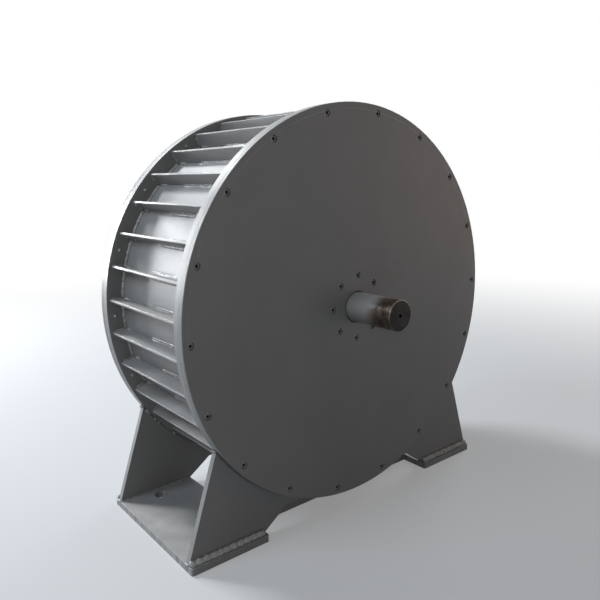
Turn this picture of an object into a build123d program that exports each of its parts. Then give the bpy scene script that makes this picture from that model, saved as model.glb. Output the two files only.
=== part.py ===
from build123d import *
import os
from math import cos, radians, sin, tan

# Low-speed disc generator on two welded feet. Millimetres, +Z up.
# X runs along the front cover, the shaft points to -Y, and z = 0 is the floor.
# The origin is the centre of the four anchor holes.

# Drum
drum_radius = 550.0
drum_floor_clearance = 46.0
cover_thickness = 14.0
cover_edge_chamfer = 1.5
flange_thickness = 23.0
fin_length = 390.0
shell_wall = 14.0

# Cooling fins
fin_count = 36
fins_per_group = 3
fin_phase = 6.8
fin_thickness = 6.0
fin_height = 40.5
fin_tip_inset = 7.5
fin_corner_cut = 5.0

# Screw recesses in the covers
rim_screw_count = 18
rim_screw_phase = 1.8
rim_screw_edge_distance = 21.5
hub_screw_count = 8
hub_screw_phase = -1.8
hub_screw_radius = 89.0
screw_recess_radius = 9.0
screw_recess_depth = 11.0
screw_recess_sides = 16

# Shaft and bearing housings
shaft_radius = 42.0
shaft_projection = 160.0
shaft_end_chamfer = 2.0
centre_hole_radius = 5.0
centre_hole_depth = 10.0
shaft_exit_gap = 3.0
bearing_seat_radius = 50.0
bearing_running_gap = 0.3
housing_length = 60.0
housing_flange_radius = 125.0
housing_flange_thickness = 20.0
housing_hub_radius = 85.0
shaft_body_radius = 62.0
shaft_shoulder_gap = 5.0
shaft_rear_gap = 6.0

# Feet
base_thickness = 19.0
base_width = 234.5
base_end_setback = 3.5
base_outer_overhang = 3.5
base_corner_radius = 6.0
anchor_hole_radius = 19.0
anchor_hole_edge_distance = 113.0
anchor_hole_spacing_y = 316.0
foot_plate_thickness = 16.0
foot_edge_setback = 1.5
foot_outer_lean = 18.3
foot_inner_lean = 35.2
foot_inner_setback = 4.0
foot_level_edge_height = 72.0
foot_ring_gap = 0.3

# Tie between the feet
tie_setback = 91.0
tie_thickness = 20.0
tie_height = 45.0

# Places that follow from the sizes above
axis_height = drum_radius + drum_floor_clearance
fin_tip_radius = drum_radius - fin_tip_inset
shell_radius = fin_tip_radius - fin_height
shell_inner_radius = shell_radius - shell_wall
rim_screw_radius = drum_radius - rim_screw_edge_distance
drum_length = fin_length + 2 * (flange_thickness + cover_thickness)
drum_front = -drum_length / 2
front_flange_y = drum_front + cover_thickness
front_fin_y = front_flange_y + flange_thickness
rear_fin_y = front_fin_y + fin_length
rear_flange_y = rear_fin_y + flange_thickness
drum_rear = rear_flange_y + cover_thickness
base_depth = drum_length - 2 * base_end_setback
base_outer_x = drum_radius + base_outer_overhang
base_inner_x = base_outer_x - base_width
anchor_hole_x = base_outer_x - anchor_hole_edge_distance
foot_outer_x = base_outer_x - foot_edge_setback
foot_inner_x = base_inner_x + foot_inner_setback


def face_at(y):
    """Upright plane through the drum axis at y, seen from the front."""
    return Plane(origin=(0, y, axis_height), x_dir=(1, 0, 0), z_dir=(0, -1, 0))


def disc(radius, y_front, y_rear):
    return extrude(face_at(y_front) * Circle(radius), amount=y_front - y_rear)


def ring(outer_radius, inner_radius, y_front, y_rear):
    return disc(outer_radius, y_front, y_rear) - disc(inner_radius, y_front, y_rear)


def recesses(y_front, y_rear, pitch_radius, count, phase):
    """Screw recesses on a circle, between two planes, with few flats because they are many."""
    outline = RegularPolygon(screw_recess_radius, screw_recess_sides, major_radius=False)
    places = PolarLocations(pitch_radius, count, phase)
    return [extrude(face_at(y_front) * place * outline, amount=y_front - y_rear) for place in places]


def cover(y_front, y_rear, recess_front, recess_rear, outer_face_y):
    plate = disc(drum_radius, y_front, y_rear)
    rim = plate.faces().filter_by(Plane.XZ).sort_by(lambda f: abs(f.center().Y - outer_face_y))[0]
    plate = chamfer(rim.edges(), cover_edge_chamfer)
    plate -= recesses(recess_front, recess_rear, rim_screw_radius, rim_screw_count, rim_screw_phase)
    plate -= recesses(recess_front, recess_rear, hub_screw_radius, hub_screw_count, hub_screw_phase)
    return plate


def front_cover():
    plate = cover(drum_front, front_flange_y, drum_front, drum_front + screw_recess_depth, drum_front)
    return plate - disc(shaft_radius + shaft_exit_gap, drum_front, front_flange_y)


def rear_cover():
    return cover(rear_flange_y, drum_rear, drum_rear - screw_recess_depth, drum_rear, drum_rear)


def stator_shell():
    return ring(shell_radius, shell_inner_radius, front_fin_y, rear_fin_y)


def cooling_fin(angle):
    """Straight radial plate between the flanges, with both outer corners cut off."""
    radial = Plane(
        origin=(0, front_fin_y, axis_height),
        x_dir=(cos(radians(angle)), 0, sin(radians(angle))),
        z_dir=(-sin(radians(angle)), 0, cos(radians(angle))),
    )
    middle = Location((shell_radius + fin_height / 2, fin_length / 2, 0))
    outline = radial * (middle * Rectangle(fin_height, fin_length))
    plate = extrude(outline, amount=fin_thickness / 2, both=True)
    across = Vector(-sin(radians(angle)), 0, cos(radians(angle)))
    outward = Vector(cos(radians(angle)), 0, sin(radians(angle)))
    centre = Vector(0, 0, axis_height)
    corners = plate.edges().filter_by(Axis((0, 0, 0), across)).sort_by(
        lambda e: (e.center() - centre).dot(outward)
    )[-2:]
    return chamfer(corners, fin_corner_cut)


def fin_group(first):
    """Neighbouring fins as separate plates."""
    pitch = 360 / fin_count
    return Compound(children=[
        cooling_fin(fin_phase + pitch * (first + step)) for step in range(fins_per_group)
    ])


def revolved(points):
    """Turned piece about the drum axis from points of radius and y."""
    outline = Polyline(*[(radius, y, axis_height) for radius, y in points], close=True)
    return revolve(make_face(outline), axis=Axis((0, 0, axis_height), (0, 1, 0)))


def bearing_housing(seat_y, inward):
    """Flanged hub against the inner face of a cover; inward is +1 at the front, -1 at the rear."""
    bore = bearing_seat_radius + bearing_running_gap
    flange_y = seat_y + inward * housing_flange_thickness
    end_y = seat_y + inward * housing_length
    return revolved([
        (bore, seat_y), (housing_flange_radius, seat_y), (housing_flange_radius, flange_y),
        (housing_hub_radius, flange_y), (housing_hub_radius, end_y), (bore, end_y),
    ])


def shaft():
    """Stepped shaft: round end with chamfer and centre hole, two bearing seats, thick middle."""
    tip_y = drum_front - shaft_projection
    seat_front = front_flange_y + shaft_shoulder_gap
    front_shoulder = front_flange_y + housing_length + shaft_shoulder_gap
    rear_shoulder = rear_flange_y - housing_length - shaft_shoulder_gap
    rear_end = rear_flange_y - shaft_rear_gap
    return revolved([
        (0, tip_y + centre_hole_depth), (centre_hole_radius, tip_y),
        (shaft_radius - shaft_end_chamfer, tip_y), (shaft_radius, tip_y + shaft_end_chamfer),
        (shaft_radius, seat_front), (bearing_seat_radius, seat_front),
        (bearing_seat_radius, front_shoulder), (shaft_body_radius, front_shoulder),
        (shaft_body_radius, rear_shoulder), (bearing_seat_radius, rear_shoulder),
        (bearing_seat_radius, rear_end), (0, rear_end),
    ])


def upright(points, y_front, y_rear):
    """Plate between two planes from its outline in x and z."""
    outline = make_face(Polyline(*[(x, y_front, z) for x, z in points], close=True))
    return extrude(outline, amount=y_rear - y_front, dir=(0, 1, 0))


def foot_plate(y_front, y_rear):
    """Plate with two leaning edges under the drum, its top cut to the flange ring."""
    kink_x = foot_inner_x - (foot_level_edge_height - base_thickness) / tan(radians(foot_inner_lean))
    top_z = axis_height - drum_radius / 2
    top_x = foot_outer_x - (top_z - base_thickness) * tan(radians(foot_outer_lean))
    plate = upright([
        (foot_inner_x, base_thickness), (foot_outer_x, base_thickness), (top_x, top_z),
        (0, foot_level_edge_height), (kink_x, foot_level_edge_height),
    ], y_front, y_rear)
    return plate - disc(drum_radius + foot_ring_gap, y_front, y_rear)


def base_plate():
    middle = Pos(base_outer_x - base_width / 2, 0, base_thickness / 2)
    plate = middle * Box(base_width, base_depth, base_thickness)
    plate = fillet(plate.edges().filter_by(Axis.Z), base_corner_radius)
    for side in (-1, 1):
        hole = Cylinder(anchor_hole_radius, base_thickness * 2)
        plate -= Pos(anchor_hole_x, side * anchor_hole_spacing_y / 2, base_thickness / 2) * hole
    return plate


def tie_bar():
    """Flat bar on edge between the inner edges of the base plates."""
    y_middle = tie_setback - base_depth / 2 + tie_thickness / 2
    return Pos(0, y_middle, tie_height / 2) * Box(2 * base_inner_x, tie_thickness, tie_height)


def both_sides(name, piece):
    """A right-hand piece and its mirror image on the left."""
    return {name + "_right": piece, name + "_left": mirror(piece, Plane.YZ)}


def build():
    parts = {
        "front_cover": front_cover(),
        "rear_cover": rear_cover(),
        "front_flange_ring": ring(drum_radius, shell_inner_radius, front_flange_y, front_fin_y),
        "rear_flange_ring": ring(drum_radius, shell_inner_radius, rear_fin_y, rear_flange_y),
        "stator_shell": stator_shell(),
        "front_bearing_housing": bearing_housing(front_flange_y, 1),
        "rear_bearing_housing": bearing_housing(rear_flange_y, -1),
        "shaft": shaft(),
        "front_tie_bar": tie_bar(),
    }
    for group in range(fin_count // fins_per_group):
        parts[f"cooling_fins_{group + 1:02d}"] = fin_group(group * fins_per_group)
    parts |= both_sides("base_plate", base_plate())
    parts |= both_sides("front_foot_plate", foot_plate(front_fin_y - foot_plate_thickness, front_fin_y))
    parts |= both_sides("rear_foot_plate", foot_plate(rear_fin_y, rear_fin_y + foot_plate_thickness))
    return parts


os.makedirs("parts", exist_ok=True)
for node, shape in build().items():
    export_step(shape, f"parts/{node}.step")
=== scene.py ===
import math
import random

import bmesh
import bpy
from mathutils import Matrix, Vector


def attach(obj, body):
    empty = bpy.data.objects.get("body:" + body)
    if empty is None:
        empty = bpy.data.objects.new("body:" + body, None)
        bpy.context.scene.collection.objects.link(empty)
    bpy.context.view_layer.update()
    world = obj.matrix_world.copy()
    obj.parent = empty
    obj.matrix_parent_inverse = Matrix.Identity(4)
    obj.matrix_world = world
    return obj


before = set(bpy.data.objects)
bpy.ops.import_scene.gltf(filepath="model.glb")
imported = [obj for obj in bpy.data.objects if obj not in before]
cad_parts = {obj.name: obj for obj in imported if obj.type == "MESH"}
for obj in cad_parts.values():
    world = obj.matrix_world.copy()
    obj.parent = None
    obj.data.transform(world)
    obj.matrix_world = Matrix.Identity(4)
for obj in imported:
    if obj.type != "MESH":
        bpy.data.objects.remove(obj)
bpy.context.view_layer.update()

# Looks of the low-speed generator around its CAD frame. Metres, +Z up, the shaft points to -Y.

# Sizes of the CAD frame that the small pieces follow
AXIS_Z = 0.596
SHELL_RADIUS = 0.502
FIN_TIP_RADIUS = 0.5425
DRUM_FRONT = -0.232
FRONT_JOINT = -0.218
FIN_FRONT = -0.195
FIN_REAR = 0.195
REAR_JOINT = 0.218
DRUM_REAR = 0.232
FIN_COUNT = 36
FIN_PHASE = 6.8
FIN_THICKNESS = 0.006
SCREW_CIRCLE = 0.5285
SCREW_COUNT = 18
SCREW_PHASE = 1.8
HUB_CIRCLE = 0.089
HUB_COUNT = 8
HUB_PHASE = -1.8
RECESS_DEPTH = 0.011
SHAFT_TIP = -0.392
CENTRE_HOLE_RADIUS = 0.005
BASE_TOP = 0.019
FOOT_INNER_X = 0.323
FOOT_OUTER_X = 0.552
FOOT_PLATE = 0.016
FLANGE_RADIUS = 0.550
# Degrees from straight down to where a foot plate's outer edge meets the flange ring
PLATE_CORNER = 56.8

# Line scribed round the covers
SCRIBED_CIRCLE = 0.531

# M10 socket head screws in the covers' recesses, each sunk a little differently
HEAD_RADIUS = 0.0078
HEAD_CHAMFER = 0.0009
HEAD_SIDES = 24
HEAD_SINK = 0.0026
SINK_VARIES = 0.0006
SOCKET_MOUTH = 0.0087
SOCKET_WIDTH = 0.0080
SOCKET_DEPTH = 0.0060
SEAT_GAP = 0.0001

# The screws' ends between the fins, which stand out by reaches that vary a little
THREAD_CREST = 0.0050
THREAD_ROOT = 0.0045
THREAD_PITCH = 0.0015
THREAD_SIDES = 14
TIP_RADIUS = 0.0038
TIP_REACH = 0.0065
REACH_VARIES = 0.0012

# Paint overspray on the shaft: from where it thins out to where it covers, along Y
SPRAY_THIN = -0.326
SPRAY_FULL = -0.278

# Shape of every weld bead, as shares of its size or of its ripple's pitch; the rate is in radians a metre
BEAD_SAG = 0.35
BEAD_HEEL = 0.18
BEAD_LAG = 0.35
BEAD_WANDER = 0.10
BEAD_WANDER_RATE = 310.0
BEAD_JITTER = 0.06
BEAD_END_SIZE = 0.45

# How deep the beads' roots lie in the plates
EMBED = 0.0002
CORNER_EMBED = 0.0003
CORNER_INSET = 0.0004

# Stitches along the fins' roots: sizes of the rows, where they start, and how far their ends vary
STITCH_INNER = 0.0038
STITCH_OUTER = 0.0050
STITCH_REAR = 0.0044
STITCH_OUTER_SPREAD = 0.0036
STITCH_OUTER_FLAT = 0.38
STITCH_START = 0.006
STITCH_VARIES = 0.004

# Pitches of the beads' ripples
FINE_PITCH = 0.004
MEDIUM_PITCH = 0.005
COARSE_PITCH = 0.0056

# Sizes and places of the other welds; the shell welds' margin beside a fin is in degrees
FIN_END_SIZE = 0.0036
FIN_END_START = 0.002
FIN_END_STOP = 0.009
SHELL_WELD_SIZE = 0.0055
SHELL_WELD_STEPS = 42
SHELL_WELD_MARGIN = 0.36
FOOT_WELD_OUTER = 0.0125
FOOT_WELD_INNER = 0.0034
FOOT_WELD_MARGIN = 0.001
FOOT_CORNER_SIZE = 0.0040
PLATE_TOP_SIZE = 0.0052
PLATE_TOP_GAP = 0.0010
TACK_SIZE = 0.0062

# Tacks between foot plates and flange rings, in degrees: middle from straight down, and half length
TACKS = ((54.4, 0.9), (50.7, 0.6), (49.0, 0.3), (41.5, 0.8))

# Where the stitches at the fins' roots stop along Y, for neighbouring fins in turn
FRONT_STITCH_ENDS = (0.069, 0.048, 0.028, 0.016, 0.030, 0.037, 0.022, 0.005, 0.018, 0.034, 0.046, 0.058)
REAR_STITCH_ENDS = (0.150, 0.146, 0.158, 0.152)

UP = Vector((0.0, 0.0, 1.0))
FRONT = Vector((0.0, -1.0, 0.0))
REAR = Vector((0.0, 1.0, 0.0))

rng = random.Random(7)


# Node helpers

class Tree:
    """Short way to write a material's nodes."""

    def __init__(self, name):
        self.material = bpy.data.materials.new(name)
        self.material.use_nodes = True
        self.tree = self.material.node_tree
        self.shader = self.tree.nodes["Principled BSDF"]
        self.out = self.tree.nodes["Material Output"]
        coords = self.tree.nodes.new("ShaderNodeTexCoord")
        self.place = coords.outputs["Object"]
        self.normal = coords.outputs["Normal"]

    def link(self, source, target):
        """Set an input from a number, a tuple or another node's output."""
        if isinstance(source, (int, float, tuple)):
            target.default_value = source
        else:
            self.tree.links.new(source, target)

    def noise(self, scale, detail, rough, stretch=None):
        node = self.tree.nodes.new("ShaderNodeTexNoise")
        node.inputs["Scale"].default_value = scale
        node.inputs["Detail"].default_value = detail
        node.inputs["Roughness"].default_value = rough
        source = self.vector("MULTIPLY", self.place, stretch) if stretch else self.place
        self.link(source, node.inputs["Vector"])
        return node.outputs["Fac"]

    def vector(self, operation, first, second):
        node = self.tree.nodes.new("ShaderNodeVectorMath")
        node.operation = operation
        self.link(first, node.inputs[0])
        self.link(second, node.inputs[1])
        return node.outputs["Vector"]

    def length(self, source):
        node = self.tree.nodes.new("ShaderNodeVectorMath")
        node.operation = "LENGTH"
        self.link(source, node.inputs[0])
        return node.outputs["Value"]

    def math(self, operation, first, second=0.0, clamp=False):
        node = self.tree.nodes.new("ShaderNodeMath")
        node.operation = operation
        node.use_clamp = clamp
        self.link(first, node.inputs[0])
        self.link(second, node.inputs[1])
        return node.outputs["Value"]

    def ramp(self, source, low, high, start=0.0, end=1.0):
        """Smooth step from start at low to end at high."""
        node = self.tree.nodes.new("ShaderNodeMapRange")
        node.interpolation_type = "SMOOTHSTEP"
        self.link(source, node.inputs["Value"])
        node.inputs["From Min"].default_value = low
        node.inputs["From Max"].default_value = high
        node.inputs["To Min"].default_value = start
        node.inputs["To Max"].default_value = end
        return node.outputs["Result"]

    def mix(self, factor, first, second, blend="MIX"):
        node = self.tree.nodes.new("ShaderNodeMix")
        node.data_type = "RGBA"
        node.blend_type = blend
        self.link(factor, node.inputs[0])
        self.link(first, node.inputs[6])
        self.link(second, node.inputs[7])
        return node.outputs[2]

    def split(self, source):
        node = self.tree.nodes.new("ShaderNodeSeparateXYZ")
        self.link(source, node.inputs[0])
        return node.outputs["X"], node.outputs["Y"], node.outputs["Z"]

    def bump(self, height, distance, strength, after=None):
        node = self.tree.nodes.new("ShaderNodeBump")
        node.inputs["Strength"].default_value = strength
        node.inputs["Distance"].default_value = distance
        self.link(height, node.inputs["Height"])
        if after:
            self.link(after, node.inputs["Normal"])
        return node.outputs["Normal"]

    def soft_edge(self, radius):
        """Normal that rounds the mesh's sharp edges."""
        node = self.tree.nodes.new("ShaderNodeBevel")
        node.samples = 4
        node.inputs["Radius"].default_value = radius
        return node.outputs["Normal"]

    def radius(self):
        """Distance from the drum's axis."""
        flat = self.vector("MULTIPLY", self.place, (1.0, 0.0, 1.0))
        return self.length(self.vector("SUBTRACT", flat, (0.0, 0.0, AXIS_Z)))

    def most(self, first, second):
        """The larger of two factors, of which the first may be missing."""
        return second if first is None else self.math("MAXIMUM", first, second)

    def near(self, source, value, half_width, blur):
        """1 where source is within half_width of value, falling to 0 over blur."""
        off = self.math("ABSOLUTE", self.math("SUBTRACT", source, value))
        return self.ramp(off, half_width, half_width + blur, 1.0, 0.0)


# Colours as linear values
PAINT = (0.204, 0.199, 0.194, 1.0)
PAINT_LIGHT = (0.234, 0.229, 0.224, 1.0)
PAINT_DARK = (0.171, 0.167, 0.164, 1.0)
DUST = (0.300, 0.288, 0.268, 1.0)
# Light grey, used only for painted highlights
HIGHLIGHT_GREY = (0.350, 0.344, 0.334, 1.0)
CREASE = (0.060, 0.060, 0.062, 1.0)
OVERSPRAY = (0.320, 0.314, 0.306, 1.0)
# Near black for painted shade
SHADE_BLACK = (0.012, 0.012, 0.013, 1.0)
STEEL = (0.270, 0.228, 0.190, 1.0)
STEEL_DARK = (0.085, 0.066, 0.054, 1.0)


def paint(name, joints=(), scribed=False, sawn_edges=False, rim_shade_line=False, tip_highlight=False, edge=0.0012,
          shade=1.0, specular=0.5):
    """Sprayed machine grey: soft mottling, overspray grain, dust on top, orange peel.

    joints are the places along Y of the seams between cover and ring, with brushed bands beside them.
    scribed adds the line round a cover and a painted highlight beside it, stronger towards the top, and
    sawn_edges the streaks of a flame-cut edge. rim_shade_line paints shade on the foot plates just outside
    the flange ring, where the covers' rims shade them, and tips paints a highlight on the fins' outer edges.
    edge is the radius by which the mesh's edges are rounded, and shade multiplies the colour."""
    t = Tree(name)
    _, y, z = t.split(t.place)
    cloud = t.ramp(t.noise(3.2, 4.0, 0.6), 0.30, 0.72)
    colour = t.mix(cloud, PAINT_DARK, PAINT_LIGHT)
    colour = t.mix(0.62, colour, PAINT)
    streak = t.ramp(t.noise(9.0, 5.0, 0.6, stretch=(1.0, 1.0, 0.35)), 0.35, 0.75)
    colour = t.mix(t.math("MULTIPLY", streak, 0.16), colour, PAINT_LIGHT)
    grain = t.noise(420.0, 2.0, 0.6)
    colour = t.mix(t.ramp(grain, 0.56, 0.78, 0.0, 0.16), colour, PAINT_LIGHT)
    colour = t.mix(t.ramp(grain, 0.24, 0.42, 0.12, 0.0), colour, PAINT_DARK)
    sideways, _, up = t.split(t.normal)
    lying = t.math("MULTIPLY", t.ramp(up, 0.45, 0.95), t.ramp(t.noise(14.0, 5.0, 0.65), 0.38, 0.72))
    low = t.math("MULTIPLY", t.ramp(z, 0.10, 0.0), t.ramp(t.noise(38.0, 4.0, 0.6), 0.45, 0.70))
    dusty = t.math("MAXIMUM", t.math("MULTIPLY", lying, 0.34), t.math("MULTIPLY", low, 0.22))
    colour = t.mix(dusty, colour, DUST)
    height = t.math("MULTIPLY", t.noise(330.0, 2.0, 0.5), 0.10)
    height = t.math("ADD", height, t.math("MULTIPLY", t.noise(7.0, 2.0, 0.5), 1.6))
    groove_and_rim_shade = None
    if joints:
        streaks = t.noise(1.0, 4.0, 0.6, stretch=(4.0, 320.0, 4.0))
        band = t.ramp(t.radius(), FLANGE_RADIUS - 0.001, FLANGE_RADIUS - 0.0004)
        brushed = t.math("MULTIPLY", t.ramp(streaks, 0.46, 0.66), t.math("MULTIPLY", band, 0.34))
    for place in joints:
        groove_and_rim_shade = t.most(groove_and_rim_shade, t.near(y, place, 0.0004, 0.0007))
        colour = t.mix(brushed, colour, CREASE)
        height = t.math("ADD", height, t.math("MULTIPLY", t.math("MULTIPLY", streaks, band), 0.5))
    if scribed:
        line = t.near(t.radius(), SCRIBED_CIRCLE, 0.0004, 0.0008)
        groove_and_rim_shade = t.most(groove_and_rim_shade, t.math("MULTIPLY", line, 0.20))
        # Painted highlight: a light line beside the scribed line, patchy and stronger towards the top.
        highlight_patches = t.ramp(t.noise(5.0, 3.0, 0.6), 0.40, 0.62, 0.25, 0.80)
        highlight_line = t.near(t.radius(), SCRIBED_CIRCLE + 0.0017, 0.0006, 0.0008)
        highlight_upper = t.math("MULTIPLY", highlight_patches, t.ramp(z, 0.25, 0.75, 0.15, 1.0))
        colour = t.mix(t.math("MULTIPLY", highlight_line, highlight_upper), colour, HIGHLIGHT_GREY)
    # Painted shade: a shaded line on the foot plates just outside the flange ring, where the cover's rim
    # shades them.
    if rim_shade_line:
        groove_and_rim_shade = t.most(groove_and_rim_shade, t.near(t.radius(), FLANGE_RADIUS + 0.0016, 0.0010, 0.0016))
    # Seams, the scribed line and the painted rim shade darken the colour and sink the surface.
    if groove_and_rim_shade is not None:
        colour = t.mix(t.math("MULTIPLY", groove_and_rim_shade, 0.72), colour, CREASE)
        height = t.math("SUBTRACT", height, t.math("MULTIPLY", groove_and_rim_shade, 1.2))
    if sawn_edges:
        upright = t.ramp(t.math("ABSOLUTE", up), 0.5, 0.2)
        cut = t.math("MULTIPLY", upright, t.ramp(z, BASE_TOP, BASE_TOP - 0.001))
        lines = t.noise(15.0, 4.0, 0.7, stretch=(14.0, 14.0, 1.0))
        height = t.math("ADD", height, t.math("MULTIPLY", t.math("MULTIPLY", lines, cut), 3.4))
        strength = t.ramp(t.math("ABSOLUTE", sideways), 0.3, 0.7, 0.18, 0.80)
        cut_strength = t.math("MULTIPLY", cut, strength)
        colour = t.mix(t.math("MULTIPLY", t.ramp(lines, 0.54, 0.42), cut_strength), colour, OVERSPRAY)
        colour = t.mix(t.math("MULTIPLY", t.ramp(lines, 0.52, 0.60), cut_strength), colour, CREASE)
    # Painted highlight: the fins' outer edges are lighter, as if catching the light.
    if tip_highlight:
        tip_highlight_mask = t.ramp(t.radius(), FIN_TIP_RADIUS - 0.0030, FIN_TIP_RADIUS - 0.0008)
        colour = t.mix(t.math("MULTIPLY", tip_highlight_mask, 0.85), colour, HIGHLIGHT_GREY)
    if shade != 1.0:
        colour = t.mix(1.0, colour, (shade, shade, shade, 1.0), "MULTIPLY")
    rough = t.ramp(t.noise(22.0, 4.0, 0.6), 0.25, 0.78, 0.38, 0.50)
    rough = t.math("ADD", rough, t.math("MULTIPLY", dusty, 0.5), clamp=True)
    if tip_highlight:
        rough = t.math("SUBTRACT", rough, t.math("MULTIPLY", tip_highlight_mask, 0.22))
    t.link(colour, t.shader.inputs["Base Color"])
    t.link(rough, t.shader.inputs["Roughness"])
    t.shader.inputs["Specular IOR Level"].default_value = specular
    soft = t.soft_edge(edge)
    t.link(t.bump(height, 0.0006, 0.55, soft), t.shader.inputs["Normal"])
    return t.material


def shaft_steel(name):
    """Turned steel with fine tool rings, browned in patches, and paint overspray at its root; painted light
    and shade make the overspray lighter on top and darker underneath, and colour the end face, centre hole
    and inner part near black.
    """
    t = Tree(name)
    _, y, z = t.split(t.place)
    patch = t.ramp(t.noise(26.0, 5.0, 0.65), 0.32, 0.70)
    rings = t.noise(1.0, 3.0, 0.6, stretch=(0.5, 900.0, 0.5))
    steel = t.mix(patch, STEEL_DARK, STEEL)
    steel = t.mix(t.ramp(rings, 0.35, 0.70, 0.0, 0.35), steel, STEEL_DARK)
    # Painted shade: the end face, the centre hole and the part inside the drum are coloured near black.
    end = t.ramp(y, SHAFT_TIP + 0.0004, SHAFT_TIP + 0.0009, 1.0, 0.0)
    steel = t.mix(t.math("MULTIPLY", end, 0.92), steel, SHADE_BLACK)
    centre = t.ramp(t.radius(), CENTRE_HOLE_RADIUS + 0.0002, CENTRE_HOLE_RADIUS + 0.0018, 1.0, 0.0)
    inside_shade = t.ramp(y, DRUM_FRONT, DRUM_FRONT + 0.003)
    painted_shade = t.math("MAXIMUM", centre, inside_shade)
    edge = t.math("ADD", y, t.math("MULTIPLY", t.noise(48.0, 5.0, 0.7), 0.030))
    edge = t.math("ADD", edge, t.ramp(z, AXIS_Z, AXIS_Z + 0.040, 0.0, 0.014))
    painted = t.ramp(edge, SPRAY_THIN, SPRAY_FULL)
    # Painted light and shade: the overspray lighter on top and darker under the axis.
    underside_shade = t.ramp(z, AXIS_Z + 0.012, AXIS_Z - 0.030)
    spray_lit_and_shaded = t.mix(underside_shade, HIGHLIGHT_GREY, PAINT_DARK)
    colour = t.mix(painted_shade, t.mix(painted, steel, spray_lit_and_shaded), SHADE_BLACK)
    rough = t.ramp(t.noise(60.0, 4.0, 0.6), 0.25, 0.75, 0.26, 0.42)
    metal = t.math("SUBTRACT", 1.0, t.math("MAXIMUM", painted, painted_shade))
    dull = t.math("MULTIPLY", t.math("SUBTRACT", 1.0, metal), 0.55)
    rough = t.math("ADD", t.math("MULTIPLY", rough, metal), dull)
    t.link(colour, t.shader.inputs["Base Color"])
    t.link(rough, t.shader.inputs["Roughness"])
    t.link(metal, t.shader.inputs["Metallic"])
    t.link(t.math("MULTIPLY", t.math("SUBTRACT", 1.0, painted_shade), 0.5), t.shader.inputs["Specular IOR Level"])
    around = t.tree.nodes.new("ShaderNodeTangent")
    around.direction_type = "RADIAL"
    around.axis = "Y"
    t.link(around.outputs["Tangent"], t.shader.inputs["Tangent"])
    t.shader.inputs["Anisotropic"].default_value = 0.75
    t.shader.inputs["Anisotropic Rotation"].default_value = 0.25
    height = t.math("MULTIPLY", rings, t.math("SUBTRACT", 1.0, painted))
    height = t.math("ADD", height, t.math("MULTIPLY", t.noise(300.0, 2.0, 0.5), 0.3))
    t.link(t.bump(height, 0.00008, 0.8, t.soft_edge(0.0008)), t.shader.inputs["Normal"])
    return t.material


def weld_paint(name, ripple=0.0022, coat=0.8):
    """Glossy paint pooled over a weld: lighter in places, with fine pits and a coarse ripple that glints."""
    t = Tree(name)
    mottled = t.ramp(t.noise(110.0, 4.0, 0.65), 0.30, 0.72)
    colour = t.mix(mottled, PAINT, OVERSPRAY)
    pits = t.ramp(t.noise(600.0, 3.0, 0.6), 0.60, 0.74)
    colour = t.mix(t.math("MULTIPLY", pits, 0.5), colour, PAINT_DARK)
    t.link(colour, t.shader.inputs["Base Color"])
    t.link(t.ramp(mottled, 0.0, 1.0, 0.14, 0.30), t.shader.inputs["Roughness"])
    t.shader.inputs["Coat Weight"].default_value = coat
    t.shader.inputs["Coat Roughness"].default_value = 0.08
    height = t.math("ADD", t.noise(300.0, 2.0, 0.5), t.math("MULTIPLY", pits, -0.3))
    rippled = t.bump(height, ripple, 0.8)
    t.link(rippled, t.shader.inputs["Normal"])
    t.link(rippled, t.shader.inputs["Coat Normal"])
    return t.material


def socket_black(name):
    """Inside of a screw's hex socket: bare black-oxide steel."""
    t = Tree(name)
    mottled = t.ramp(t.noise(900.0, 3.0, 0.6), 0.35, 0.70)
    colour = t.mix(mottled, (0.010, 0.010, 0.011, 1.0), (0.030, 0.030, 0.031, 1.0))
    t.link(colour, t.shader.inputs["Base Color"])
    t.link(t.ramp(mottled, 0.0, 1.0, 0.45, 0.70), t.shader.inputs["Roughness"])
    t.link(t.bump(mottled, 0.0001, 0.5), t.shader.inputs["Normal"])
    return t.material


# Mesh helpers

def piece(name, bm, materials, body="housing"):
    """Object from a bmesh, all of it smooth, on its body and in its slot."""
    bmesh.ops.recalc_face_normals(bm, faces=bm.faces)
    mesh = bpy.data.meshes.new(name)
    bm.to_mesh(mesh)
    bm.free()
    mesh.shade_smooth()
    made = bpy.data.objects.new(name, mesh)
    bpy.context.scene.collection.objects.link(made)
    for material in materials:
        mesh.materials.append(material)
    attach(made, body)
    return made


def loft(bm, rings, closed_ends=True, material=0):
    """Skin over rings of points, each ring with as many points."""
    rows = [[bm.verts.new(point) for point in ring] for ring in rings]
    count = len(rows[0])
    for low, high in zip(rows, rows[1:]):
        for i in range(count):
            j = (i + 1) % count
            bm.faces.new((low[i], low[j], high[j], high[i])).material_index = material
    if closed_ends:
        bm.faces.new(list(reversed(rows[0]))).material_index = material
        bm.faces.new(rows[-1]).material_index = material
    return rows


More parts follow.
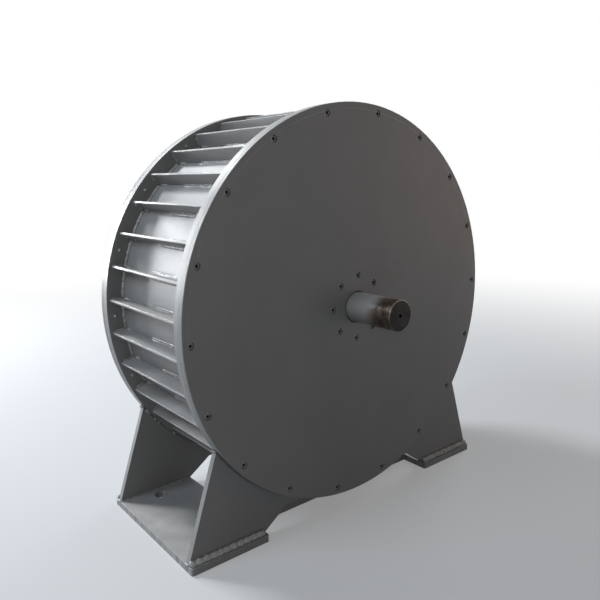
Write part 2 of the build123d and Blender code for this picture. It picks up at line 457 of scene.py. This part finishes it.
def weld_bead(bm, path, sides, radius, pitch, points=7, swell=0.18, taper=2, flat=1.0):
    """Rippled bead along a path. sides is a pair of directions square to it, or a list with a pair for
    each point; the bead bulges between the two.

    swell is how much each ripple rises, taper the number of steps over which the ends thin out, and flat
    lowers the bead along the first side."""
    rings = []
    travelled = 0.0
    phase = rng.random()
    drift = rng.random() * 10.0
    last = len(path) - 1
    for index, here in enumerate(path):
        if index:
            travelled += (here - path[index - 1]).length
        ahead = (path[min(index + 1, last)] - path[max(index - 1, 0)]).normalized()
        first, second = sides[index] if isinstance(sides, list) else sides
        first = first.normalized()
        second = second.normalized()
        step = (travelled / pitch + phase) % 1.0
        ripple = 1.0 + swell * (1.0 - step) ** 1.5
        wander = 1.0 + BEAD_WANDER * math.sin(travelled * BEAD_WANDER_RATE + drift)
        wander += BEAD_JITTER * (rng.random() - 0.5)
        to_end = min(1.0, min(index, last - index) / taper)
        size = radius * ripple * wander
        size *= BEAD_END_SIZE + (1.0 - BEAD_END_SIZE) * to_end ** 0.7
        ring = []
        for k in range(points):
            turn = math.radians(90.0) * k / (points - 1)
            reach = size * (1.0 - BEAD_SAG * (1.0 - abs(math.cos(2.0 * turn))) * 0.35)
            offset = first * (math.cos(turn) * flat) + second * math.sin(turn)
            lag = ahead * (BEAD_LAG * pitch * math.sin(2.0 * turn))
            ring.append(here + offset * reach + lag)
        ring.append(here - (first + second) * size * BEAD_HEEL)
        rings.append(ring)
    loft(bm, rings)


def polar(radius, degrees, y):
    """Point at a distance from the drum's axis; the angle starts at +X and turns towards +Z."""
    angle = math.radians(degrees)
    return Vector((radius * math.cos(angle), y, AXIS_Z + radius * math.sin(angle)))


def radial(degrees):
    """Direction away from the drum's axis."""
    angle = math.radians(degrees)
    return Vector((math.cos(angle), 0.0, math.sin(angle)))


def tangent(degrees):
    """Direction along the drum's rim."""
    angle = math.radians(degrees)
    return Vector((-math.sin(angle), 0.0, math.cos(angle)))


def straight(start, end, step=0.0015):
    """Points along a line, about step apart."""
    start, end = Vector(start), Vector(end)
    count = max(3, int((end - start).length / step))
    return [start.lerp(end, i / count) for i in range(count + 1)]


# Screws

def socket_screw(bm, centre, outward, sink, turn):
    """Socket head screw: chamfered head with a hex socket, its top sink below centre."""
    side = Vector((1.0, 0.0, 0.0))
    up = outward.cross(side)
    top = centre - outward * sink
    height = RECESS_DEPTH - sink - SEAT_GAP
    count = HEAD_SIDES

    def round_ring(r, depth):
        points = []
        for i in range(count):
            a = 2.0 * math.pi * i / count
            points.append(top - outward * depth + (side * math.cos(a) + up * math.sin(a)) * r)
        return points

    def hex_ring(across, depth):
        points = []
        for i in range(count):
            a = 2.0 * math.pi * i / count
            spoke = math.radians(60.0)
            flat = (a + math.radians(30.0)) % spoke - math.radians(30.0)
            r = across / 2.0 / math.cos(flat)
            b = a + turn
            points.append(top - outward * depth + (side * math.cos(b) + up * math.sin(b)) * r)
        return points

    shift = int(round(turn / (2.0 * math.pi / count)))
    turn = shift * 2.0 * math.pi / count
    rings = [
        round_ring(HEAD_RADIUS, height), round_ring(HEAD_RADIUS, HEAD_CHAMFER),
        round_ring(HEAD_RADIUS * 0.96, HEAD_CHAMFER / 3.0), round_ring(HEAD_RADIUS * 0.90, 0.0),
    ]
    hexes = [
        hex_ring(SOCKET_MOUTH, 0.0), hex_ring(SOCKET_WIDTH, 0.0004), hex_ring(SOCKET_WIDTH, SOCKET_DEPTH),
    ]
    hexes = [ring[-shift:] + ring[:-shift] if shift else ring for ring in hexes]
    head = loft(bm, rings + hexes[:1], closed_ends=False)
    inner = loft(bm, hexes, closed_ends=False, material=1)
    bm.faces.new(list(reversed(head[0])))
    bm.faces.new(inner[-1]).material_index = 1


def screw_circle(name, y, outward, circle, count, phase, materials):
    """Screws evenly round a circle in a cover, each turned its own way."""
    bm = bmesh.new()
    for i in range(count):
        centre = polar(circle, phase + 360.0 / count * i, y)
        turn = rng.random() * math.radians(60.0)
        sink = HEAD_SINK + SINK_VARIES * rng.random()
        socket_screw(bm, centre, outward, sink, turn)
    bmesh.ops.remove_doubles(bm, verts=bm.verts, dist=1e-6)
    made = piece(name, bm, materials)
    made.modifiers.new("edges", "EDGE_SPLIT").split_angle = math.radians(35.0)


def screw_tips(name, y, outward, material):
    """Ends of the rim screws where they come through a flange ring, between the fins."""
    bm = bmesh.new()
    for i in range(SCREW_COUNT):
        angle = SCREW_PHASE + 360.0 / SCREW_COUNT * i
        root = polar(SCREW_CIRCLE, angle, y)
        first, second = radial(angle), tangent(angle)
        reach = TIP_REACH + REACH_VARIES * rng.random()
        half_pitch = THREAD_PITCH / 2.0
        steps = int(reach / half_pitch)
        profile = [(THREAD_CREST if k % 2 else THREAD_ROOT, half_pitch * k) for k in range(steps + 1)]
        profile.append((TIP_RADIUS, reach + 0.0006))
        loft(bm, [
            [root + outward * d + first * (math.cos(a) * r) + second * (math.sin(a) * r)
             for a in [2.0 * math.pi * j / THREAD_SIDES for j in range(THREAD_SIDES)]]
            for r, d in profile
        ])
    piece(name, bm, [material])


# Welds

def fin_root_welds(name, y_start, y_ends, radius, material, spread=0.0, flat=0.9):
    """One row of stitches on both sides of every fin's root, ending at each of y_ends in turn.

    spread moves the row out over the shell."""
    bm = bmesh.new()
    for i in range(FIN_COUNT):
        angle = FIN_PHASE + 360.0 / FIN_COUNT * i
        for side in (-1.0, 1.0):
            outward = radial(angle)
            across = tangent(angle) * side
            root = outward * (SHELL_RADIUS - EMBED) + across * (FIN_THICKNESS / 2.0 - EMBED + spread)
            start = Vector((0.0, y_start, AXIS_Z)) + root
            y_end = y_ends[i % len(y_ends)] + STITCH_VARIES * (rng.random() - 0.5)
            end = Vector((0.0, y_end, AXIS_Z)) + root
            path = straight(start, end, 0.0014)
            sides = (outward, across)
            weld_bead(bm, path, sides, radius, COARSE_PITCH, points=4, swell=0.5, taper=9, flat=flat)
    piece(name, bm, [material])


def fin_end_welds(name, y, inward, material):
    """Short beads that hold each fin's end to a flange ring."""
    bm = bmesh.new()
    for i in range(FIN_COUNT):
        angle = FIN_PHASE + 360.0 / FIN_COUNT * i
        for side in (-1.0, 1.0):
            across = tangent(angle) * side
            middle = Vector((0.0, y, AXIS_Z)) + across * (FIN_THICKNESS / 2.0 - EMBED)
            start = middle + radial(angle) * (SHELL_RADIUS + FIN_END_START)
            end = middle + radial(angle) * (FIN_TIP_RADIUS - FIN_END_STOP)
            weld_bead(bm, straight(start, end), (across, REAR * inward), FIN_END_SIZE, FINE_PITCH)
    piece(name, bm, [material])


def ring_weld(name, y, inward, material):
    """Bead where the shell meets a flange ring, in one run from fin to fin."""
    bm = bmesh.new()
    for i in range(FIN_COUNT):
        first = FIN_PHASE + 360.0 / FIN_COUNT * i + SHELL_WELD_MARGIN
        last = FIN_PHASE + 360.0 / FIN_COUNT * (i + 1) - SHELL_WELD_MARGIN
        angles = [first + (last - first) * k / SHELL_WELD_STEPS for k in range(SHELL_WELD_STEPS + 1)]
        path = [polar(SHELL_RADIUS - EMBED, a, y) for a in angles]
        directions = [(radial(a), REAR * inward) for a in angles]
        weld_bead(bm, path, directions, SHELL_WELD_SIZE, MEDIUM_PITCH)
    piece(name, bm, [material])


def foot_welds(name, side, material):
    """Fillets of one foot: plates to base, and short ones at the plates' lower and upper outer corners."""
    bm = bmesh.new()
    x_in = side * (FOOT_INNER_X + FOOT_WELD_MARGIN)
    x_out = side * (FOOT_OUTER_X - FOOT_WELD_MARGIN)
    out = Vector((side, 0.0, 0.0))
    for y, away, radius in (
        (FIN_FRONT - FOOT_PLATE, FRONT, FOOT_WELD_OUTER), (FIN_FRONT, REAR, FOOT_WELD_INNER),
        (FIN_REAR, FRONT, FOOT_WELD_INNER), (FIN_REAR + FOOT_PLATE, REAR, FOOT_WELD_OUTER),
    ):
        path = straight((x_in, y, BASE_TOP - EMBED), (x_out, y, BASE_TOP - EMBED), 0.0013)
        weld_bead(bm, path, (away, UP), radius, COARSE_PITCH, swell=0.16)
    for y in (FIN_FRONT - FOOT_PLATE, FIN_REAR):
        foot = Vector((side * (FOOT_OUTER_X - CORNER_INSET), y, BASE_TOP - CORNER_EMBED))
        corner = straight(foot, foot + REAR * FOOT_PLATE)
        weld_bead(bm, corner, (out, UP), FOOT_CORNER_SIZE, FINE_PITCH, swell=0.3)
        top = polar(FLANGE_RADIUS + PLATE_TOP_GAP, 270.0 + side * PLATE_CORNER, y)
        leaning = Vector((side * 0.5, 0.0, -0.9))
        edge = straight(top, top + REAR * FOOT_PLATE)
        weld_bead(bm, edge, (out, leaning), PLATE_TOP_SIZE, MEDIUM_PITCH, swell=0.3)
    piece(name, bm, [material])


def ring_tacks(name, side, material):
    """Short uneven tacks where the foot plates' inner faces meet the flange rings."""
    bm = bmesh.new()
    for y, inward in ((FIN_FRONT, 1.0), (FIN_REAR, -1.0)):
        for middle, spread in TACKS:
            count = max(5, int(spread * 14))
            angles = [270.0 + side * (middle + spread * (2.0 * k / count - 1.0)) for k in range(count + 1)]
            path = [polar(FLANGE_RADIUS, a, y) for a in angles]
            directions = [(radial(a), REAR * inward) for a in angles]
            weld_bead(bm, path, directions, TACK_SIZE, MEDIUM_PITCH, swell=0.35)
    piece(name, bm, [material])


# Build

grey = paint("grey_paint")
cover_paint = paint("grey_paint_cover", joints=(FRONT_JOINT, REAR_JOINT), scribed=True, specular=0.32)
ring_paint = paint("grey_paint_ring", joints=(FRONT_JOINT, REAR_JOINT))
base_paint = paint("grey_paint_base", sawn_edges=True, edge=0.0015)
foot_paint = paint("grey_paint_feet", rim_shade_line=True, specular=0.32)
fin_paint = paint("grey_paint_fins", tip_highlight=True, edge=0.0028)
head_paint = paint("grey_paint_screws", edge=0.0002, shade=1.6)
beads = weld_paint("grey_paint_welds")
foot_beads = weld_paint("grey_paint_foot_welds", ripple=0.0008, coat=0.0)
socket = socket_black("screw_socket")
# Painted shade: the bearing housings, seen only through the gap round the shaft, are coloured near black.
gap_shade = paint("bearing_gap_shade", shade=0.16)
steel = shaft_steel("shaft_steel")

special = {
    "front_cover": cover_paint,
    "rear_cover": cover_paint,
    "front_flange_ring": ring_paint,
    "rear_flange_ring": ring_paint,
    "base_plate_left": base_paint,
    "base_plate_right": base_paint,
    "shaft": steel,
    "front_bearing_housing": gap_shade,
    "rear_bearing_housing": gap_shade,
}
for place in ("front", "rear"):
    for side in ("left", "right"):
        special[f"{place}_foot_plate_{side}"] = foot_paint
for name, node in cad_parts.items():
    material = special.get(name, fin_paint if name.startswith("cooling_fins") else grey)
    if node.material_slots:
        for held in node.material_slots:
            held.material = material
    else:
        node.data.materials.append(material)

screw_materials = [head_paint, socket]
for place, y, outward in (("front", DRUM_FRONT, FRONT), ("rear", DRUM_REAR, REAR)):
    screw_circle(f"{place}_rim_screws", y, outward, SCREW_CIRCLE, SCREW_COUNT, SCREW_PHASE, screw_materials)
    screw_circle(f"{place}_hub_screws", y, outward, HUB_CIRCLE, HUB_COUNT, HUB_PHASE, screw_materials)
screw_tips("front_screw_tips", FIN_FRONT, REAR, beads)
screw_tips("rear_screw_tips", FIN_REAR, FRONT, beads)
stitch_front = FIN_FRONT + STITCH_START
stitch_rear = FIN_REAR - STITCH_START
fin_root_welds("fin_root_welds_front_inner", stitch_front, FRONT_STITCH_ENDS, STITCH_INNER, beads)
fin_root_welds("fin_root_welds_front_outer", stitch_front, FRONT_STITCH_ENDS, STITCH_OUTER, beads,
               spread=STITCH_OUTER_SPREAD, flat=STITCH_OUTER_FLAT)
fin_root_welds("fin_root_welds_rear", stitch_rear, REAR_STITCH_ENDS, STITCH_REAR, beads)
fin_end_welds("fin_end_welds_front", FIN_FRONT, 1.0, beads)
fin_end_welds("fin_end_welds_rear", FIN_REAR, -1.0, beads)
ring_weld("shell_weld_front", FIN_FRONT, 1.0, beads)
ring_weld("shell_weld_rear", FIN_REAR, -1.0, beads)
foot_welds("foot_welds_left", -1.0, foot_beads)
foot_welds("foot_welds_right", 1.0, foot_beads)
ring_tacks("ring_tacks_left", -1.0, grey)
ring_tacks("ring_tacks_right", 1.0, grey)


# Stage

FLOOR_SIDES = 96
FLOOR_RADII = (0.6, 1.5, 3.0, 6.0, 14.0)
FLOOR_GREY = (0.340, 0.350, 0.362, 1.0)
WHITE = (1.0, 1.0, 1.0, 1.0)
WORLD_TINT = (0.76, 0.88, 1.0, 1.0)
WORLD_LEVEL = 0.11

# Colours of the lamps: cool from behind and the right, warm from the front, blue from the left
COOL = (0.94, 0.97, 1.0)
WARM = (1.0, 0.95, 0.90)
DEEP_WARM = (1.0, 0.62, 0.42)
BLUE = (0.76, 0.89, 1.0)

# What the lamps are turned to, inside the drum
AIM_RIM = (-0.4, 0.0, 0.5)
AIM_LEFT = (-0.3, 0.0, 0.5)
AIM_RIGHT = (0.3, 0.0, 0.5)

# Name, place, aim, side in metres, watts and colour
LAMPS = (
    ("back_low", (-1.459, 4.246, 0.96), AIM_RIM, 0.8, 150.0, COOL),
    ("back_middle", (-1.400, 4.012, 2.005), AIM_RIM, 0.8, 72.0, COOL),
    ("back_high", (-1.084, 2.744, 3.871), AIM_RIM, 0.8, 205.0, COOL),
    ("left_high", (-3.2, 0.5, 3.4), AIM_LEFT, 1.6, 88.0, BLUE),
    ("front_left", (-2.2, -2.6, 1.6), AIM_LEFT, 0.7, 9.5, WARM),
    ("front_right", (3.6, -1.6, 1.2), AIM_RIGHT, 1.6, 12.0, DEEP_WARM),
    ("right", (3.4, 1.2, 2.2), AIM_RIGHT, 1.6, 45.0, COOL),
)


def pale_floor():
    """Round floor that fades to white far out, for what the camera and reflections see."""
    bm = bmesh.new()
    turns = [2 * math.pi * i / FLOOR_SIDES for i in range(FLOOR_SIDES)]
    rings = [[(r * math.cos(a), r * math.sin(a), 0.0) for a in turns] for r in FLOOR_RADII]
    rows = loft(bm, rings, closed_ends=False)
    bm.faces.new(rows[0])
    bmesh.ops.recalc_face_normals(bm, faces=bm.faces)
    mesh = bpy.data.meshes.new("floor")
    bm.to_mesh(mesh)
    bm.free()
    floor = bpy.data.objects.new("floor", mesh)
    bpy.context.scene.collection.objects.link(floor)
    t = Tree("pale_floor")
    t.link(FLOOR_GREY, t.shader.inputs["Base Color"])
    t.link(0.85, t.shader.inputs["Roughness"])
    t.shader.inputs["Specular IOR Level"].default_value = 0.1
    white = t.tree.nodes.new("ShaderNodeEmission")
    blend = t.tree.nodes.new("ShaderNodeMixShader")
    path = t.tree.nodes.new("ShaderNodeLightPath")
    far = t.ramp(t.length(t.place), 1.3, 4.5, 0.25, 1.0)
    seen = t.math("MAXIMUM", path.outputs["Is Camera Ray"], path.outputs["Is Glossy Ray"])
    seen = t.math("MAXIMUM", seen, path.outputs["Is Transmission Ray"])
    t.link(t.math("MULTIPLY", far, seen), blend.inputs[0])
    t.link(t.shader.outputs[0], blend.inputs[1])
    t.link(white.outputs[0], blend.inputs[2])
    t.link(blend.outputs[0], t.out.inputs["Surface"])
    mesh.materials.append(t.material)


def white_world(level):
    """White for the camera and reflections, and a weak cool light on the object."""
    world = bpy.data.worlds.new("studio")
    bpy.context.scene.world = world
    world.use_nodes = True
    tree = world.node_tree
    tree.nodes.clear()
    out = tree.nodes.new("ShaderNodeOutputWorld")
    soft = tree.nodes.new("ShaderNodeBackground")
    seen = tree.nodes.new("ShaderNodeBackground")
    mix = tree.nodes.new("ShaderNodeMixShader")
    path = tree.nodes.new("ShaderNodeLightPath")
    soft.inputs["Strength"].default_value = level
    seen.inputs["Strength"].default_value = 1.0
    soft.inputs["Color"].default_value = WORLD_TINT
    seen.inputs["Color"].default_value = WHITE
    total = path.outputs["Is Camera Ray"]
    for other in ("Is Glossy Ray", "Is Transmission Ray"):
        add = tree.nodes.new("ShaderNodeMath")
        add.operation = "MAXIMUM"
        tree.links.new(total, add.inputs[0])
        tree.links.new(path.outputs[other], add.inputs[1])
        total = add.outputs[0]
    tree.links.new(total, mix.inputs[0])
    tree.links.new(soft.outputs[0], mix.inputs[1])
    tree.links.new(seen.outputs[0], mix.inputs[2])
    tree.links.new(mix.outputs[0], out.inputs["Surface"])


def area_light(name, place, target, side, power, colour):
    """Square lamp at a place, turned to a target."""
    data = bpy.data.lights.new(name, "AREA")
    data.shape = "SQUARE"
    data.size = side
    data.energy = power
    data.color = colour
    lamp = bpy.data.objects.new(name, data)
    bpy.context.scene.collection.objects.link(lamp)
    lamp.location = place
    lamp.rotation_euler = (Vector(target) - Vector(place)).to_track_quat("-Z", "Y").to_euler()
    lamp.visible_camera = False


pale_floor()
white_world(WORLD_LEVEL)
for lamp in LAMPS:
    area_light(*lamp)

# Camera at the photograph's place, with the lens from its focal length in pixels
YAW, PITCH, ROLL = 0.6810751, 0.1983162, -0.0137629
CAMERA_PLACE = (-1.19049, -1.44663, 0.95763)
SENSOR_WIDTH = 36.0
FOCAL_PIXELS, PHOTO_PIXELS = 618.352, 600.0
camera_data = bpy.data.cameras.new("camera")
camera_data.sensor_width = SENSOR_WIDTH
camera_data.lens = SENSOR_WIDTH * FOCAL_PIXELS / PHOTO_PIXELS
camera = bpy.data.objects.new("camera", camera_data)
bpy.context.scene.collection.objects.link(camera)
turn = Matrix.Rotation(-YAW, 4, "Z") @ Matrix.Rotation(math.pi / 2 - PITCH, 4, "X")
turn = turn @ Matrix.Rotation(ROLL, 4, "Z")
camera.matrix_world = Matrix.Translation(CAMERA_PLACE) @ turn
bpy.context.scene.camera = camera
bpy.context.scene.view_settings.view_transform = "Standard"
